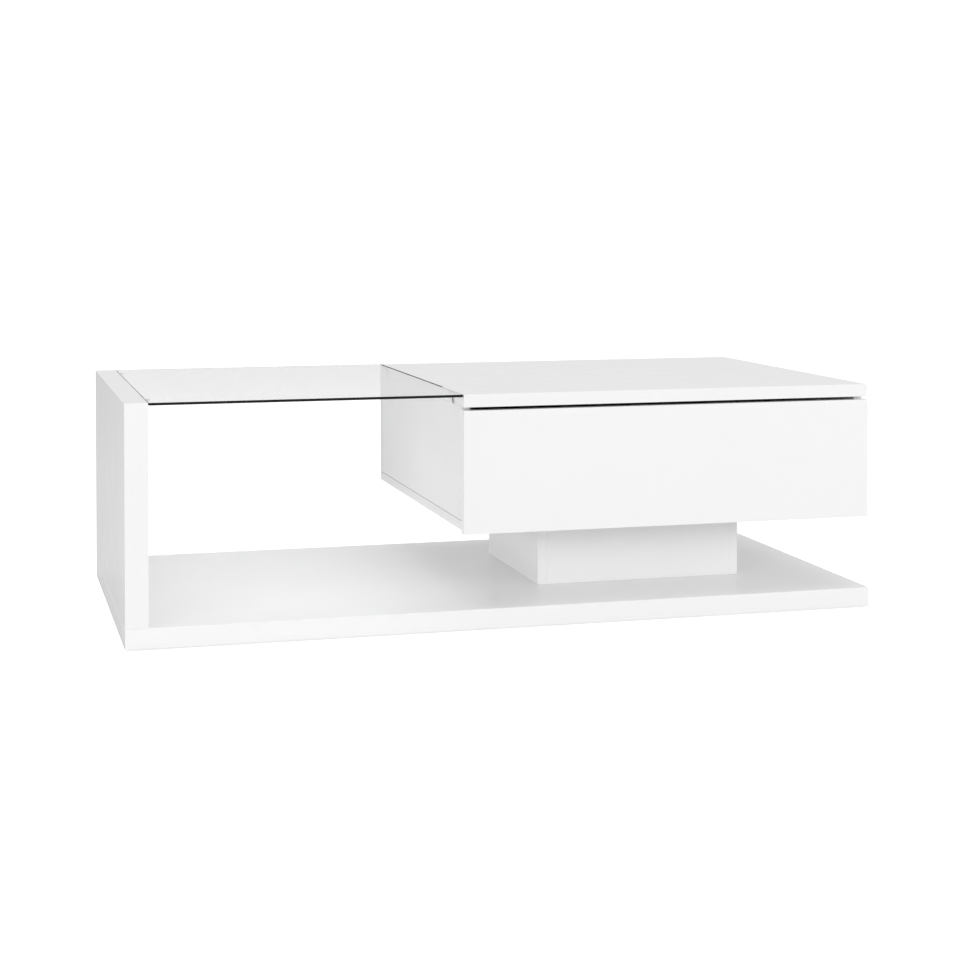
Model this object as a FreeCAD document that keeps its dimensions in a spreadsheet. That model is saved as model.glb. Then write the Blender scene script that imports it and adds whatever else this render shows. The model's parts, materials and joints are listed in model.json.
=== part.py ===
import FreeCAD, Part
import Sketcher
import os

# A long, low coffee table: a base board carries an end panel and a pedestal, the pedestal carries
# a box with one wide drawer, and a glass plate bridges the bay between the end panel and the box.
# Frame: origin on the floor under the middle, +X along the length, the drawer opens towards -Y.

Vector = FreeCAD.Vector
Rotation = FreeCAD.Rotation

SIZES = [
    # alias, millimetres, what it is
    ("table_length", 1200, "overall length, along X"),
    ("table_depth", 600, "overall depth, along Y"),
    ("table_height", 366, "floor to the top surface"),
    ("base_thickness", 31, "base board"),
    ("end_thickness", 35, "end panel"),
    ("bay_length", 480, "open bay under the glass, along X"),
    ("box_length", 680, "drawer box, along X"),
    ("board", 15, "carcass and pedestal boards"),
    ("top_thickness", 20, "top board of the box"),
    ("eased_edge", 0.6, "radius of the rounded-off edges of the lacquered boards"),
    ("carcass_setback", 18, "front edge of the carcass behind the front of the table"),
    ("pedestal_offset", 168.5, "left face of the pedestal from the left face of the box"),
    ("pedestal_setback", 162, "front face of the pedestal behind the front of the table"),
    ("pedestal_length", 353.5, "pedestal, along X"),
    ("pedestal_depth", 298, "pedestal, along Y"),
    ("pedestal_height", 121, "pedestal, along Z"),
    ("glide_height", 2, "stick-on floor glide"),
    ("glide_radius", 14, "stick-on floor glide"),
    ("glide_bevel", 0.8, "rounded-off rim of a glide"),
    ("glide_inset", 45, "centre of a glide from the edges of the base"),
    ("glass_thickness", 4, "tempered glass plate"),
    ("glass_left_gap", 0.6, "gap between the end panel and the glass"),
    ("glass_right_gap", 1.2, "gap between the glass and the box"),
    ("glass_bevel", 0.7, "ground edge of the glass"),
    ("seal_width", 2.8, "black seal between the glass and the box, along X"),
    ("seal_height", 3, "black seal, along Z"),
    ("seal_drop", 0.2, "top of the black seal below the surface of the table"),
    ("seal_play", 0.1, "black seal clear of the glass and of the sides of its rebate"),
    ("seal_start", 135, "front end of the black seal behind the front of the table"),
    ("seal_end", 2, "back end of the black seal before the back of the table"),
    ("support_height", 14, "upright leg of a glass support"),
    ("support_reach", 8, "flat leg of a glass support"),
    ("support_width", 7, "glass support, along Y"),
    ("support_gauge", 1.5, "glass support sheet"),
    ("support_inset", 62, "centre of a glass support from the front or back"),
    ("cushion_height", 1, "clear cushion between support and glass"),
    ("cushion_radius", 3, "clear cushion between support and glass"),
    ("cushion_offset", 4.7, "centre of a cushion from the board that holds its support"),
    ("front_thickness", 16, "drawer front"),
    ("front_gap", 5, "gap between the top board and the drawer front"),
    ("front_lip", 4.5, "drawer front below the box, a grip for the fingers"),
    ("front_overhang", 2, "drawer front past the right side of the box"),
    ("drawer_length", 460, "drawer box, along Y"),
    ("drawer_height", 130, "drawer box, along Z"),
    ("drawer_board", 12, "drawer box boards"),
    ("drawer_floor_gap", 12, "under the drawer box"),
    ("bottom_thickness", 3, "drawer bottom"),
    ("bottom_rise", 10, "drawer bottom above the lower edge of the drawer sides"),
    ("groove_depth", 6, "groove for the drawer bottom"),
    ("groove_play", 0.1, "play above, below and beside the drawer bottom"),
    ("stop_thickness", 1.9, "soft stop behind the drawer front"),
    ("stop_radius", 4.5, "soft stop behind the drawer front"),
    ("runner_thickness", 12.7, "whole runner, between carcass and drawer"),
    ("runner_height", 45, "cabinet member of the runner"),
    ("runner_length", 450, "each member of the runner"),
    ("runner_start", 2, "runner behind the front edge of the carcass"),
    ("runner_rise", 45, "middle of the runner above the lower edge of the drawer sides"),
    ("gauge", 1.2, "runner sheet"),
    ("lip", 1, "turned-in edge of a runner flange"),
    ("cabinet_depth", 9, "flanges of the cabinet member"),
    ("middle_start", 3.7, "web of the middle member from the carcass"),
    ("middle_end", 11.3, "flanges of the middle member from the carcass"),
    ("drawer_member_start", 6.2, "flanges of the drawer member from the carcass"),
    ("race", 3.4, "ball race between two members"),
    ("ball_play", 0.05, "running clearance of a ball"),
    ("outer_ball_line", 6, "outer ball rows from the carcass"),
    ("inner_ball_line", 8.2, "inner ball rows from the carcass"),
    ("cage_gauge", 0.5, "web of a ball cage"),
    ("cage_strip", 0.8, "strips of a ball cage"),
    ("cage_play", 0.5, "ball cage web off the member behind it"),
    ("cage_rim", 1.4, "strips of a ball cage past the middle of the balls"),
    ("cage_length", 190, "ball cage"),
    ("lever_length", 60, "release lever"),
    ("lever_height", 8, "release lever"),
    ("lever_thickness", 2, "release lever"),
    ("lever_offset", 110, "pivot of the release lever from the front of the runner"),
    ("lever_play", 0.3, "release lever off the drawer member"),
    ("pivot_radius", 2, "pivot of the release lever"),
    ("hole_play", 0.05, "hole radius over the radius of what sits in it"),
    ("confirmat_head", 5, "radius of a housing screw's head"),
    ("confirmat_head_height", 3, "housing screw"),
    ("confirmat_taper", 2, "housing screw, head to shank"),
    ("confirmat_shank", 3.5, "radius of a housing screw"),
    ("confirmat_socket", 2.2, "hexagon socket, corner radius"),
    ("confirmat_length", 50, "housing screw for the boards"),
    ("base_screw_length", 65, "housing screw for the base"),
    ("sink", 0.4, "screw heads below the surface"),
    ("screw_point", 4, "tapered end of a screw"),
    ("wood_head", 3.8, "radius of a countersunk wood screw's head"),
    ("wood_taper", 2.2, "wood screw, head to shank"),
    ("wood_shank", 2, "radius of a wood screw"),
    ("wood_length", 38, "wood screw of the drawer box"),
    ("pan_head", 3.2, "radius of a pan head"),
    ("pan_height", 1.1, "pan head"),
    ("pan_shank", 1.75, "radius of a pan-head screw"),
    ("pan_length", 12.3, "pan-head screw of the runners"),
    ("front_screw_length", 24, "pan-head screw of the drawer front"),
    ("slot_width", 1, "driver slot"),
    ("slot_depth", 0.6, "driver slot"),
    ("dowel_radius", 4, "wood dowel"),
    ("dowel_length", 30, "wood dowel"),
    ("dowel_bevel", 1, "wood dowel"),
    ("dowel_shallow", 10, "depth of a dowel in a board's face"),
    ("dowel_end_play", 0.5, "space past each end of a dowel"),
    ("cam_radius", 7.4, "cam lock"),
    ("cam_height", 11.8, "cam lock"),
    ("cam_setback", 34, "centre of a cam from the joint"),
    ("cam_inset", 123, "cams under the top board from the ends of the joint"),
    ("cam_mouth", 3.3, "radius of the opening of a cam for its bolt"),
    ("bolt_radius", 3, "cam bolt"),
    ("bolt_neck", 1.8, "radius of the neck of a cam bolt"),
    ("bolt_neck_length", 4, "neck of a cam bolt"),
    ("bolt_head_length", 2.5, "head of a cam bolt"),
    ("bolt_thread", 10, "depth of a cam bolt in the far board"),
    ("joint_inset", 82, "outer fittings of a joint from the ends of the joint"),
]

CAGE_BALLS = 8

# Where repeated fittings sit, as shares of the length or height that they are spread over.
PEDESTAL_DOWEL_SHARES = (0.25, 0.75)
PEDESTAL_SCREW_SHARES = (0.2, 0.8)
CAM_SHARES = (0.3, 0.65)
BACK_DOWEL_SHARES = (0.15, 0.5, 0.85)
RUNNER_SCREW_SHARES = (0.1, 0.5, 0.9)
DRAWER_SCREW_SHARES = (0.62, 0.88)
FRONT_SCREW_COLUMN_SHARES = (0.12, 0.88)
FRONT_SCREW_LEVEL_SHARES = (0.3, 0.75)
STOP_SHARES = (0.12, 0.88)

# The outline of a release lever, as shares of its length and height.
LEVER_OUTLINE = [(0, 0.25), (0.1, 0), (0.85, 0), (1, 0.35), (1, 0.65), (0.85, 1), (0.1, 1), (0, 0.75)]
PAD_TOP = 0.8  # the upper face of a soft pad, as a share of its radius

ON_AXIS = 1e-9  # millimetres; a closer point is held on the axis itself
LEAST_CUT = 1e-3  # cubic millimetres; a smaller cut has missed its board

doc = FreeCAD.newDocument("coffee_table")
sheet = doc.addObject("Spreadsheet::Sheet", "Sizes")
for row, (alias, value, meaning) in enumerate(SIZES, 1):
    sheet.set(f"A{row}", alias)
    sheet.set(f"B{row}", str(value))
    sheet.set(f"C{row}", meaning)
    sheet.setAlias(f"B{row}", alias)
doc.recompute()

# Places worked out from the sizes, as expressions in the frame of the table.
LEFT = "(-Sizes.table_length / 2)"
FRONT = "(-Sizes.table_depth / 2)"
BACK = "(Sizes.table_depth / 2)"
MIDDLE_DEPTH = "0"
BASE_TOP = "(Sizes.glide_height + Sizes.base_thickness)"
BAY_LEFT = f"({LEFT} + Sizes.end_thickness)"
BOX_LEFT = f"({BAY_LEFT} + Sizes.bay_length)"
BOX_MIDDLE = f"({BOX_LEFT} + Sizes.box_length / 2)"
BOX_RIGHT = f"({BOX_LEFT} + Sizes.box_length)"
BOX_UNDERSIDE = f"({BASE_TOP} + Sizes.pedestal_height)"
BOX_FLOOR = f"({BOX_UNDERSIDE} + Sizes.board)"
TOP_UNDERSIDE = "(Sizes.table_height - Sizes.top_thickness)"
CARCASS_FRONT = f"({FRONT} + Sizes.carcass_setback)"
BACK_INNER = f"({BACK} - Sizes.board)"
CARCASS_DEPTH = f"({BACK_INNER} - {CARCASS_FRONT})"
INSIDE_LEFT = f"({BOX_LEFT} + Sizes.board)"
SIDE_CENTRE = f"({BOX_LEFT} + Sizes.board / 2)"
BACK_CENTRE = f"({BACK} - Sizes.board / 2)"
PEDESTAL_LEFT = f"({BOX_LEFT} + Sizes.pedestal_offset)"
PEDESTAL_RIGHT = f"({PEDESTAL_LEFT} + Sizes.pedestal_length)"
PEDESTAL_FRONT = f"({FRONT} + Sizes.pedestal_setback)"
PEDESTAL_BACK = f"({PEDESTAL_FRONT} + Sizes.pedestal_depth)"
GLASS_UNDERSIDE = "(Sizes.table_height - Sizes.glass_thickness)"
SUPPORT_TOP = f"({GLASS_UNDERSIDE} - Sizes.cushion_height)"
FRONT_INNER = f"({FRONT} + Sizes.front_thickness)"
DRAWER_LEFT = f"({INSIDE_LEFT} + Sizes.runner_thickness)"
DRAWER_RIGHT = f"({BOX_RIGHT} - Sizes.board - Sizes.runner_thickness)"
DRAWER_UNDERSIDE = f"({BOX_FLOOR} + Sizes.drawer_floor_gap)"
DRAWER_INNER_LEFT = f"({DRAWER_LEFT} + Sizes.drawer_board)"
DRAWER_INNER_LENGTH = f"({DRAWER_RIGHT} - {DRAWER_LEFT} - 2 * Sizes.drawer_board)"
DRAWER_END = f"({FRONT_INNER} + Sizes.drawer_length)"
BOTTOM_LEVEL = f"({DRAWER_UNDERSIDE} + Sizes.bottom_rise)"
BOTTOM_TOP = f"({BOTTOM_LEVEL} + Sizes.bottom_thickness)"
RUNNER_FRONT = f"({CARCASS_FRONT} + Sizes.runner_start)"
RUNNER_LEVEL = f"({DRAWER_UNDERSIDE} + Sizes.runner_rise)"

# The sketch plane across each axis, the way its normal points, and the axes it is drawn in.
PLANES = {
    "X": ("YZ_Plane", 1, (1, 2)),
    "Y": ("XZ_Plane", -1, (0, 2)),
    "Z": ("XY_Plane", 1, (0, 1)),
}
ORIGIN = ("0", "0", "0")
UPWARDS = Vector(0, 0, 1)
DOWNWARDS = Vector(0, 0, -1)
RIGHTWARDS = Vector(1, 0, 0)
LEFTWARDS = Vector(-1, 0, 0)
BACKWARDS = Vector(0, 1, 0)
FORWARDS = Vector(0, -1, 0)

corners = {}
cuts = []
nodes = []


def measure(expression):
    """The number that an expression gives now."""
    return float(sheet.evalExpression(expression))


def spread(start, extent, shares):
    """Expressions for the places at shares of an extent from its start."""
    return [f"({start} + {extent} * {share})" for share in shares]


def place(item, corner):
    """Bind an object's position to three expressions."""
    for axis, value in zip("xyz", corner):
        item.setExpression(f"Placement.Base.{axis}", value)


def keep(label, item):
    """Name an object as one part of the table."""
    item.Label = label
    nodes.append(item)
    return item


def new_body(label, corner):
    """An empty body whose own origin lies at corner."""
    body = doc.addObject("PartDesign::Body", label)
    place(body, corner)
    corners[body.Name] = corner
    return body


def new_sketch(body, name, axis, level):
    """A sketch across an axis, at a level in the frame of the table."""
    role, sign, _ = PLANES[axis]
    plane = next(item for item in body.Origin.OriginFeatures if item.Role == role)
    sketch = body.newObject("Sketcher::SketchObject", name)
    sketch.AttachmentSupport = [(plane, "")]
    sketch.MapMode = "FlatFace"
    start = corners[body.Name]["XYZ".index(axis)]
    sketch.setExpression("AttachmentOffset.Base.z", f"{sign} * ({level} - {start})")
    return sketch


def pin(sketch, curve, vertex, spot):
    """Hold one vertex of a curve at two expressions measured from the sketch's origin."""
    for kind, other_axis, value in zip(("DistanceX", "DistanceY"), (-2, -1), spot):
        amount = measure(value)
        if abs(amount) < ON_AXIS:
            sketch.addConstraint(Sketcher.Constraint("PointOnObject", curve, vertex, other_axis))
            continue
        ends = (-1, 1, curve, vertex) if amount > 0 else (curve, vertex, -1, 1)
        index = sketch.addConstraint(Sketcher.Constraint(kind, *ends, abs(amount)))
        sketch.setExpression(f"Constraints[{index}]", value if amount > 0 else f"-({value})")


def draw_outline(sketch, points):
    """A closed outline of straight lines through points, each point two expressions."""
    places = [Vector(measure(across), measure(up), 0) for across, up in points]
    count = len(points)
    for index in range(count):
        sketch.addGeometry(Part.LineSegment(places[index], places[(index + 1) % count]), False)
    for index in range(count):
        sketch.addConstraint(Sketcher.Constraint("Coincident", index, 2, (index + 1) % count, 1))
    for index, point in enumerate(points):
        pin(sketch, index, 1, point)


def draw_circle(sketch, number, centre, radius):
    """A circle, the sketch's curve of the given number, held at its centre and radius."""
    middle = Vector(measure(centre[0]), measure(centre[1]), 0)
    sketch.addGeometry(Part.Circle(middle, UPWARDS, measure(radius)), False)
    pin(sketch, number, 3, centre)
    index = sketch.addConstraint(Sketcher.Constraint("Radius", number, measure(radius)))
    sketch.setExpression(f"Constraints[{index}]", radius)


def rectangle(low, high):
    """The four corners between two opposite ones."""
    return [low, (high[0], low[1]), high, (low[0], high[1])]


def in_plane(body, axis, spot):
    """The two coordinates of a spot that a sketch across axis is drawn in."""
    corner = corners[body.Name]
    return [f"({spot[index]} - {corner[index]})" for index in PLANES[axis][2]]


def add_pad(body, name, sketch, axis, length):
    """Pad a sketch along +axis."""
    pad = body.newObject("PartDesign::Pad", name)
    pad.Profile = sketch
    pad.setExpression("Length", length)
    pad.Reversed = PLANES[axis][1] < 0
    sketch.Visibility = False
    return pad


def add_pocket(body, name, sketch, way, depth):
    """Cut a sketch into the body; way is the cutter's direction, such as "+X"."""
    pocket = body.newObject("PartDesign::Pocket", name)
    pocket.Profile = sketch
    pocket.setExpression("Length", depth)
    towards = 1 if way[0] == "+" else -1
    pocket.Reversed = towards * PLANES[way[1]][1] > 0
    sketch.Visibility = False
    cuts.append(pocket)
    return pocket


def board(label, corner, extent, thin):
    """A rectangular board from its low corner and its three sizes, drawn across its thin axis."""
    body = keep(label, new_body(label, corner))
    index = "XYZ".index(thin)
    sketch = new_sketch(body, f"{label}_outline", thin, corner[index])
    far = [extent[number] for number in PLANES[thin][2]]
    draw_outline(sketch, rectangle(("0", "0"), far))
    add_pad(body, f"{label}_pad", sketch, thin, extent[index])
    return body


def finish_edges(body, kind, dimension, size):
    """A fillet or chamfer over every edge that the body has so far."""
    plain = body.Tip
    edges = body.newObject(kind, f"{body.Label}_edges")
    edges.Base = (plain, ["Edge1"])
    edges.UseAllEdges = True
    edges.setExpression(dimension, size)


def lacquered_board(label, corner, extent, thin):
    """A board with every edge rounded off a little, as lacquered boards are."""
    body = board(label, corner, extent, thin)
    finish_edges(body, "PartDesign::Fillet", "Radius", "Sizes.eased_edge")
    return body


def drill(body, name, way, spots, radius, depth):
    """Round holes that start at spots (in the frame of the table) and run along way."""
    index = "XYZ".index(way[1])
    sketch = new_sketch(body, f"{name}_circles", way[1], spots[0][index])
    for number, spot in enumerate(spots):
        draw_circle(sketch, number, in_plane(body, way[1], spot), radius)
    return add_pocket(body, name, sketch, way, depth)


def cut_slot(body, name, way, low, high, depth):
    """A rectangular slot between two opposite corners, cut along way from their level."""
    index = "XYZ".index(way[1])
    sketch = new_sketch(body, f"{name}_outline", way[1], low[index])
    draw_outline(sketch, rectangle(in_plane(body, way[1], low), in_plane(body, way[1], high)))
    return add_pocket(body, name, sketch, way, depth)


def turned_piece(label, profile):
    """A round piece: a half profile of (radius, height) points turned about its own Z axis."""
    body = new_body(label, ORIGIN)
    sketch = new_sketch(body, f"{label}_profile", "Y", "0")
    draw_outline(sketch, profile)
    turn = body.newObject("PartDesign::Revolution", f"{label}_turn")
    turn.Profile = sketch
    turn.ReferenceAxis = (sketch, ["V_Axis"])
    turn.Angle = 360
    sketch.Visibility = False
    return body


def section_piece(label, corner, points, length):
    """A rolled or folded piece: a section drawn across Y and padded along +Y from corner."""
    body = new_body(label, corner)
    sketch = new_sketch(body, f"{label}_section", "Y", corner[1])
    draw_outline(sketch, points)
    add_pad(body, f"{label}_pad", sketch, "Y", length)
    return body


def copies_of(label, master, spots, turn):
    """A group of separate copies of one master piece, all turned the same way."""
    copies = []
    for number, spot in enumerate(spots, 1):
        copy = doc.addObject("App::Link", f"{label}_{number}")
        copy.LinkedObject = master
        copy.Placement = FreeCAD.Placement(Vector(), turn)
        place(copy, spot)
        copies.append(copy)
    return together(f"{label}_set", copies)


def together(label, items):
    """One compound of separate solids."""
    group = doc.addObject("Part::Compound", label)
    group.Links = items
    return group


def mirror(label, source):
    """The same piece on the other side of the drawer box."""
    twin = doc.addObject("Part::Mirroring", label)
    twin.Source = source
    twin.Normal = RIGHTWARDS
    twin.setExpression("Base.x", BOX_MIDDLE)
    return twin


def both_sides(label, source):
    """One node that holds a group at the left of the drawer box and its mirror image."""
    return keep(label, together(label, [source, mirror(f"{label}_right", source)]))


def keep_pair(name, source):
    """Two nodes: a piece at the left of the drawer box and its mirror image at the right."""
    keep(f"{name}_left", source)
    keep(f"{name}_right", mirror(f"{name}_right", source))


def from_head(direction):
    """The turn that sends a screw, drawn head up, in the given direction."""
    return Rotation(DOWNWARDS, direction)


def at_level(spots, axis, level):
    """The same spots moved to one level along an axis."""
    index = "XYZ".index(axis)
    return [spot[:index] + (level,) + spot[index + 1:] for spot in spots]


def radius_for(alias):
    """The hole radius for a piece of the named radius."""
    return f"(Sizes.{alias} + Sizes.hole_play)"


# ---- fasteners, each drawn once, head or face up, with its top at its own origin

def hexagon(radius):
    """The corners of a hexagon about the origin."""
    angles = [60 * step for step in range(6)]
    return [(f"({radius} * cos({angle} deg))", f"({radius} * sin({angle} deg))") for angle in angles]


def housing_screw(label, length):
    """A housing screw with a stepped, tapered head and a hexagon socket."""
    point = f"-({length} - Sizes.screw_point)"
    neck = "-(Sizes.confirmat_head_height + Sizes.confirmat_taper)"
    screw = turned_piece(label, [
        ("0", "0"),
        ("Sizes.confirmat_head", "0"),
        ("Sizes.confirmat_head", "-Sizes.confirmat_head_height"),
        ("Sizes.confirmat_shank", neck),
        ("Sizes.confirmat_shank", point),
        ("0", f"-({length})"),
    ])
    socket = new_sketch(screw, f"{label}_hexagon", "Z", "0")
    draw_outline(socket, hexagon("Sizes.confirmat_socket"))
    add_pocket(screw, f"{label}_socket", socket, "-Z", "Sizes.confirmat_head_height")
    return screw


def cross_slot(body, label, reach, width, depth):
    """Two crossed driver slots in the top of a piece drawn at the origin."""
    half = f"{width} / 2"
    cut_slot(body, f"{label}_slot_a", "-Z", (f"-{reach}", f"-{half}", "0"), (reach, half, "0"), depth)
    cut_slot(body, f"{label}_slot_b", "-Z", (f"-{half}", f"-{reach}", "0"), (half, reach, "0"), depth)


def wood_screw(label):
    """A countersunk wood screw."""
    screw = turned_piece(label, [
        ("0", "0"),
        ("Sizes.wood_head", "0"),
        ("Sizes.wood_shank", "-Sizes.wood_taper"),
        ("Sizes.wood_shank", "-(Sizes.wood_length - Sizes.screw_point)"),
        ("0", "-Sizes.wood_length"),
    ])
    cross_slot(screw, label, "Sizes.wood_shank", "Sizes.slot_width", "Sizes.slot_depth")
    return screw


def pan_screw(label, length):
    """A low pan-head screw; its head stands above the sheet that it holds."""
    screw = turned_piece(label, [
        ("0", "0"),
        ("Sizes.pan_head", "0"),
        ("Sizes.pan_head", "-Sizes.pan_height"),
        ("Sizes.pan_shank", "-Sizes.pan_height"),
        ("Sizes.pan_shank", f"-({length} - Sizes.screw_point)"),
        ("0", f"-({length})"),
    ])
    cross_slot(screw, label, "Sizes.pan_shank", "Sizes.slot_width", "Sizes.slot_depth")
    return screw


def dowel(label):
    """A fluteless wood dowel with bevelled ends, standing up from its own origin."""
    inner = "(Sizes.dowel_radius - Sizes.dowel_bevel)"
    return turned_piece(label, [
        ("0", "0"),
        (inner, "0"),
        ("Sizes.dowel_radius", "Sizes.dowel_bevel"),
        ("Sizes.dowel_radius", "(Sizes.dowel_length - Sizes.dowel_bevel)"),
        (inner, "Sizes.dowel_length"),
        ("0", "Sizes.dowel_length"),
    ])


def cam_lock(label):
    """A cam drum, face up, open along +X half a board below its face for the bolt's head."""
    cam = turned_piece(label, [
        ("0", "0"),
        ("Sizes.cam_radius", "0"),
        ("Sizes.cam_radius", "-Sizes.cam_height"),
        ("0", "-Sizes.cam_height"),
    ])
    mouth = [("-Sizes.bolt_radius", "0", "-Sizes.board / 2")]
    drill(cam, f"{label}_mouth", "+X", mouth, "Sizes.cam_mouth", "2 * Sizes.cam_radius")
    cross_slot(cam, label, "Sizes.cam_radius / 2", "Sizes.slot_width", "Sizes.slot_width")
    return cam


def cam_bolt(label):
    """A cam bolt: its head at the origin, its shank and threaded end up along +Z."""
    neck_start = "Sizes.bolt_head_length"
    neck_end = "(Sizes.bolt_head_length + Sizes.bolt_neck_length)"
    end = "(Sizes.cam_setback + Sizes.bolt_thread)"
    return turned_piece(label, [
        ("0", "0"),
        ("Sizes.bolt_radius", "0"),
        ("Sizes.bolt_radius", neck_start),
        ("Sizes.bolt_neck", neck_start),
        ("Sizes.bolt_neck", neck_end),
        ("Sizes.bolt_radius", neck_end),
        ("Sizes.bolt_radius", end),
        ("0", end),
    ])


base_screw = housing_screw("base_screw", "Sizes.base_screw_length")
board_screw = housing_screw("board_screw", "Sizes.confirmat_length")
drawer_screw = wood_screw("drawer_screw")
runner_screw = pan_screw("runner_screw", "Sizes.pan_length")
long_pan_screw = pan_screw("long_pan_screw", "Sizes.front_screw_length")
wooden_dowel = dowel("wooden_dowel")
cam = cam_lock("cam")
bolt = cam_bolt("bolt")


def drill_for_housing_screws(near, far, name, way, heads, joint, length):
    """Stepped holes through the near board and plain ones in the far board, from the joint on."""
    index = "XYZ".index(way[1])
    surface = heads[0][index]
    through = f"abs({joint} - {surface})"
    seat = "(Sizes.sink + Sizes.confirmat_head_height + Sizes.confirmat_taper)"
    drill(near, f"{name}_seats", way, heads, radius_for("confirmat_head"), seat)
    drill(near, f"{name}_holes", way, heads, radius_for("confirmat_shank"), through)
    depth = f"({length} + Sizes.sink - {through} + Sizes.hole_play)"
    for number, (piece, spots) in enumerate(far):
        drill(piece, f"{name}_far_{number}", way, at_level(spots, way[1], joint),
              radius_for("confirmat_shank"), depth)


# ---- base and end panel

base_board = lacquered_board("base_board", (LEFT, FRONT, "Sizes.glide_height"),
                             ("Sizes.table_length", "Sizes.table_depth", "Sizes.base_thickness"), "Z")
END_HEIGHT = f"(Sizes.table_height - {BASE_TOP})"
end_panel = lacquered_board("end_panel", (LEFT, FRONT, BASE_TOP),
                            ("Sizes.end_thickness", "Sizes.table_depth", END_HEIGHT), "X")

glide = turned_piece("glide", [
    ("0", "0"),
    ("(Sizes.glide_radius - Sizes.glide_bevel)", "0"),
    ("Sizes.glide_radius", "Sizes.glide_bevel"),
    ("Sizes.glide_radius", "Sizes.glide_height"),
    ("0", "Sizes.glide_height"),
])
GLIDE_COLUMNS = [f"({LEFT} + Sizes.glide_inset)", "0", "(Sizes.table_length / 2 - Sizes.glide_inset)"]
GLIDE_ROWS = [f"({FRONT} + Sizes.glide_inset)", f"({BACK} - Sizes.glide_inset)"]
glide_spots = [(across, along, "0") for across in GLIDE_COLUMNS for along in GLIDE_ROWS]
keep("floor_glides", copies_of("floor_glide", glide, glide_spots, Rotation()))

# ---- pedestal: side boards run the full depth, front and back boards stand between them

PEDESTAL_SIDE = ("Sizes.board", "Sizes.pedestal_depth", "Sizes.pedestal_height")
PEDESTAL_FACE = ("(Sizes.pedestal_length - 2 * Sizes.board)", "Sizes.board", "Sizes.pedestal_height")
PEDESTAL_RIGHT_BOARD = f"({PEDESTAL_RIGHT} - Sizes.board)"
PEDESTAL_BACK_BOARD = f"({PEDESTAL_BACK} - Sizes.board)"
PEDESTAL_INNER_LEFT = f"({PEDESTAL_LEFT} + Sizes.board)"

pedestal_left = lacquered_board("pedestal_left", (PEDESTAL_LEFT, PEDESTAL_FRONT, BASE_TOP),
                                PEDESTAL_SIDE, "X")
pedestal_right = lacquered_board("pedestal_right", (PEDESTAL_RIGHT_BOARD, PEDESTAL_FRONT, BASE_TOP),
                                 PEDESTAL_SIDE, "X")
pedestal_front = lacquered_board("pedestal_front", (PEDESTAL_INNER_LEFT, PEDESTAL_FRONT, BASE_TOP),
                                 PEDESTAL_FACE, "Y")
pedestal_back = lacquered_board("pedestal_back", (PEDESTAL_INNER_LEFT, PEDESTAL_BACK_BOARD, BASE_TOP),
                                PEDESTAL_FACE, "Y")

DOWEL_DEEP = "(Sizes.dowel_length - Sizes.dowel_shallow)"
dowel_levels = spread(BASE_TOP, "Sizes.pedestal_height", PEDESTAL_DOWEL_SHARES)


def pedestal_dowels(face, face_line, name):
    """Dowels between one face board and both side boards, and the holes for them."""
    groups = []
    for side, joint, inward in ((pedestal_left, PEDESTAL_INNER_LEFT, 1),
                                (pedestal_right, PEDESTAL_RIGHT_BOARD, -1)):
        label = f"{name}_{side.Label}"
        spots = [(joint, face_line, level) for level in dowel_levels]
        into_face, into_side = ("+X", "-X") if inward > 0 else ("-X", "+X")
        drill(face, f"{label}_deep", into_face, spots, radius_for("dowel_radius"),
              f"({DOWEL_DEEP} + Sizes.dowel_end_play)")
        drill(side, f"{label}_shallow", into_side, spots, radius_for("dowel_radius"),
              "(Sizes.dowel_shallow + Sizes.dowel_end_play)")
        start = f"({joint} - {inward} * Sizes.dowel_shallow)"
        direction = RIGHTWARDS if inward > 0 else LEFTWARDS
        groups.append(copies_of(f"{label}_dowel", wooden_dowel, at_level(spots, "X", start),
                                Rotation(UPWARDS, direction)))
    return groups


front_line = f"({PEDESTAL_FRONT} + Sizes.board / 2)"
back_line = f"({PEDESTAL_BACK} - Sizes.board / 2)"
keep("pedestal_dowels", together("pedestal_dowels",
                                 pedestal_dowels(pedestal_front, front_line, "front")
                                 + pedestal_dowels(pedestal_back, back_line, "back")))

# ---- drawer box: bottom board, two sides on it, back board behind, top board over all

box_bottom = lacquered_board("box_bottom", (BOX_LEFT, CARCASS_FRONT, BOX_UNDERSIDE),
                             ("Sizes.box_length", CARCASS_DEPTH, "Sizes.board"), "Z")
box_back = lacquered_board("box_back", (BOX_LEFT, BACK_INNER, BOX_UNDERSIDE),
                           ("Sizes.box_length", "Sizes.board", f"({TOP_UNDERSIDE} - {BOX_UNDERSIDE})"), "Y")
top_board = lacquered_board("top_board", (BOX_LEFT, FRONT, TOP_UNDERSIDE),
                            ("Sizes.box_length", "Sizes.table_depth", "Sizes.top_thickness"), "Z")
SIDE_CORNER = (BOX_LEFT, CARCASS_FRONT, BOX_FLOOR)
SIDE_HEIGHT = f"({TOP_UNDERSIDE} - {BOX_FLOOR})"
box_side = lacquered_board("box_side_left", SIDE_CORNER, ("Sizes.board", CARCASS_DEPTH, SIDE_HEIGHT), "X")

# ---- screws up through the base, down into the pedestal and up into the sides

SCREW_ROWS = [f"({FRONT} + Sizes.joint_inset)", MIDDLE_DEPTH, f"({BACK} - Sizes.joint_inset)"]
END_LINE = f"({LEFT} + Sizes.end_thickness / 2)"
pedestal_rows = spread(PEDESTAL_FRONT, "Sizes.pedestal_depth", PEDESTAL_SCREW_SHARES)
PEDESTAL_LEFT_LINE = f"({PEDESTAL_LEFT} + Sizes.board / 2)"
PEDESTAL_RIGHT_LINE = f"({PEDESTAL_RIGHT} - Sizes.board / 2)"

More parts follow.
